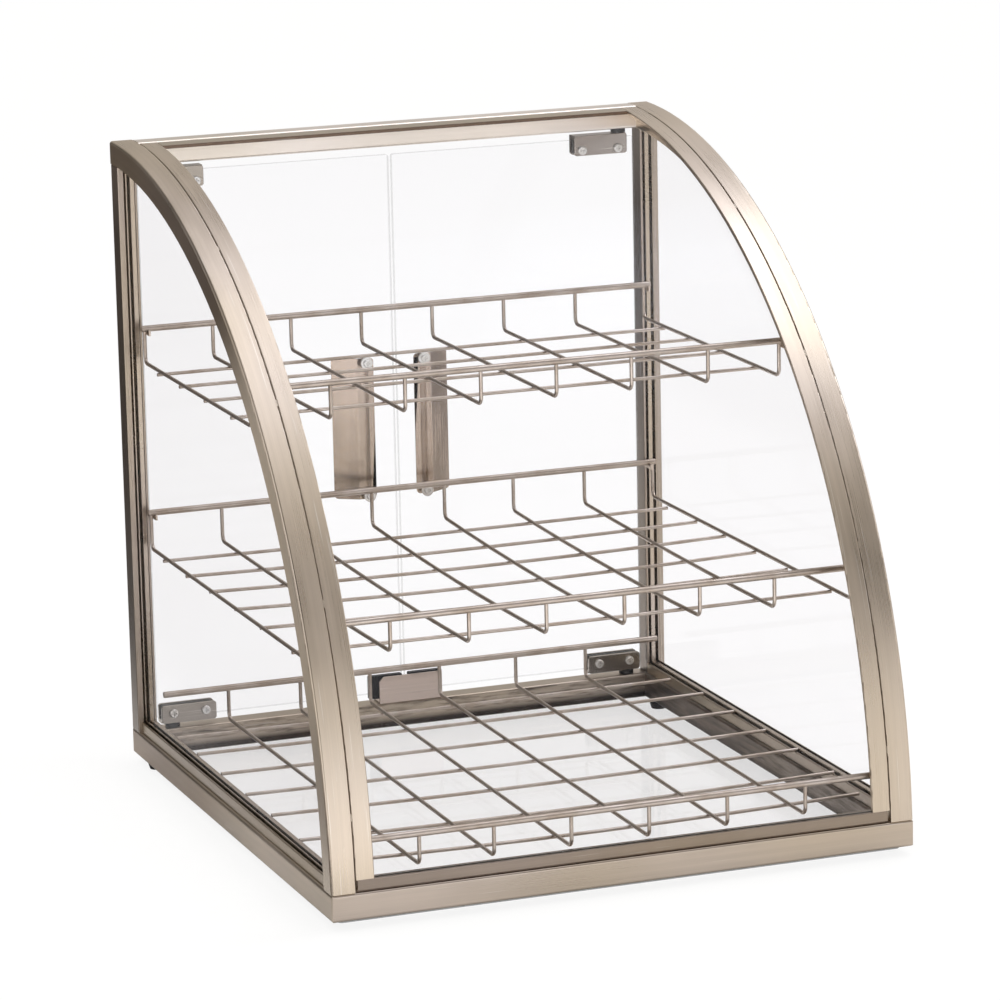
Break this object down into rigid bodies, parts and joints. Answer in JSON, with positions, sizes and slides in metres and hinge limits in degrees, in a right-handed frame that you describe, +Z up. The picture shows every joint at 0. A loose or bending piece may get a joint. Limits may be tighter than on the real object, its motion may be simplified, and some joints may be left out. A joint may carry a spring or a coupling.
{
  "type": "bakery display case",
  "caption": "Countertop bakery display case with a bent glass front, glazed sides, three lift-out wire shelves and two clip-hinged rear glass doors.",
  "frame": {"origin": "on the table, in the middle of the footprint", "axes": "+Z up; the curved front faces -Y and the doors are on the +Y side; +X is to the right seen from the front"},
  "size_m": [0.5, 0.5516, 0.5511],
  "materials": {
    "brushed_steel": "brushed, slightly warm",
    "trim_steel": "bright channel",
    "weld_steel": "ground weld",
    "screw_steel": "bright",
    "shelf_wire": "polished wire",
    "glass": "clear",
    "floor_clear": "clear, glossy",
    "clear_pad": "clear soft plastic",
    "black_plastic": "matt",
    "rubber": "matt"
  },
  "bodies": {
    "frame": {"base_front_rail": "brushed_steel", "base_rear_rail": "brushed_steel", "base_left_rail": "brushed_steel", "base_right_rail": "brushed_steel", "floor_panel": "floor_clear", "rubber_feet": "rubber", "foot_screws": "screw_steel", "left_rear_post": "brushed_steel", "right_rear_post": "brushed_steel", "left_arch": "brushed_steel", "right_arch": "brushed_steel", "top_rear_rail": "brushed_steel", "left_bottom_rail": "brushed_steel", "right_bottom_rail": "brushed_steel", "front_sill": "brushed_steel", "left_arch_strip": "brushed_steel", "right_arch_strip": "brushed_steel", "top_strip": "brushed_steel", "strip_tack_welds": "weld_steel", "curved_front_pane": "glass", "left_side_glass": "glass", "right_side_glass": "glass", "left_glazing_channel": "trim_steel", "right_glazing_channel": "trim_steel", "door_strike_plate": "brushed_steel", "pivot_bushings": "black_plastic", "shelf_support_clips": "brushed_steel"},
    "left_door": {"left_door_glass": "glass", "left_upper_hinge_clamp": "brushed_steel", "left_lower_hinge_clamp": "brushed_steel", "left_upper_hinge_plate": "brushed_steel", "left_lower_hinge_plate": "brushed_steel", "left_hinge_pads": "clear_pad", "left_hinge_screws": "screw_steel", "left_pivot_pins": "screw_steel", "left_door_handle": "brushed_steel", "left_handle_screws": "screw_steel", "left_handle_nuts": "screw_steel", "left_door_magnet": "black_plastic"},
    "right_door": {"right_door_glass": "glass", "right_upper_hinge_clamp": "brushed_steel", "right_lower_hinge_clamp": "brushed_steel", "right_upper_hinge_plate": "brushed_steel", "right_lower_hinge_plate": "brushed_steel", "right_hinge_pads": "clear_pad", "right_hinge_screws": "screw_steel", "right_pivot_pins": "screw_steel", "right_door_handle": "brushed_steel", "right_handle_screws": "screw_steel", "right_handle_nuts": "screw_steel", "right_door_magnet": "black_plastic"},
    "top_shelf": {"top_shelf_rails": "shelf_wire", "top_shelf_long_wires": "shelf_wire", "top_shelf_cross_wires": "shelf_wire"},
    "middle_shelf": {"middle_shelf_rails": "shelf_wire", "middle_shelf_long_wires": "shelf_wire", "middle_shelf_cross_wires": "shelf_wire"},
    "bottom_shelf": {"bottom_shelf_rails": "shelf_wire", "bottom_shelf_long_wires": "shelf_wire", "bottom_shelf_cross_wires": "shelf_wire"}
  },
  "joints": [
    {"name": "left_door_hinge", "type": "hinge", "parent": "frame", "child": "left_door", "pos_m": [-0.216, 0.25925, 0.03], "axis": [0, 0, 1], "range_deg": [0, 110]},
    {"name": "right_door_hinge", "type": "hinge", "parent": "frame", "child": "right_door", "pos_m": [0.216, 0.25925, 0.03], "axis": [0, 0, -1], "range_deg": [0, 110]},
    {"name": "top_shelf_lift", "type": "slide", "parent": "frame", "child": "top_shelf", "axis": [0, 0, 1], "range_m": [0, 0.01]},
    {"name": "middle_shelf_lift", "type": "slide", "parent": "frame", "child": "middle_shelf", "axis": [0, 0, 1], "range_m": [0, 0.01]},
    {"name": "bottom_shelf_lift", "type": "slide", "parent": "frame", "child": "bottom_shelf", "axis": [0, 0, 1], "range_m": [0, 0.006]}
  ]
}
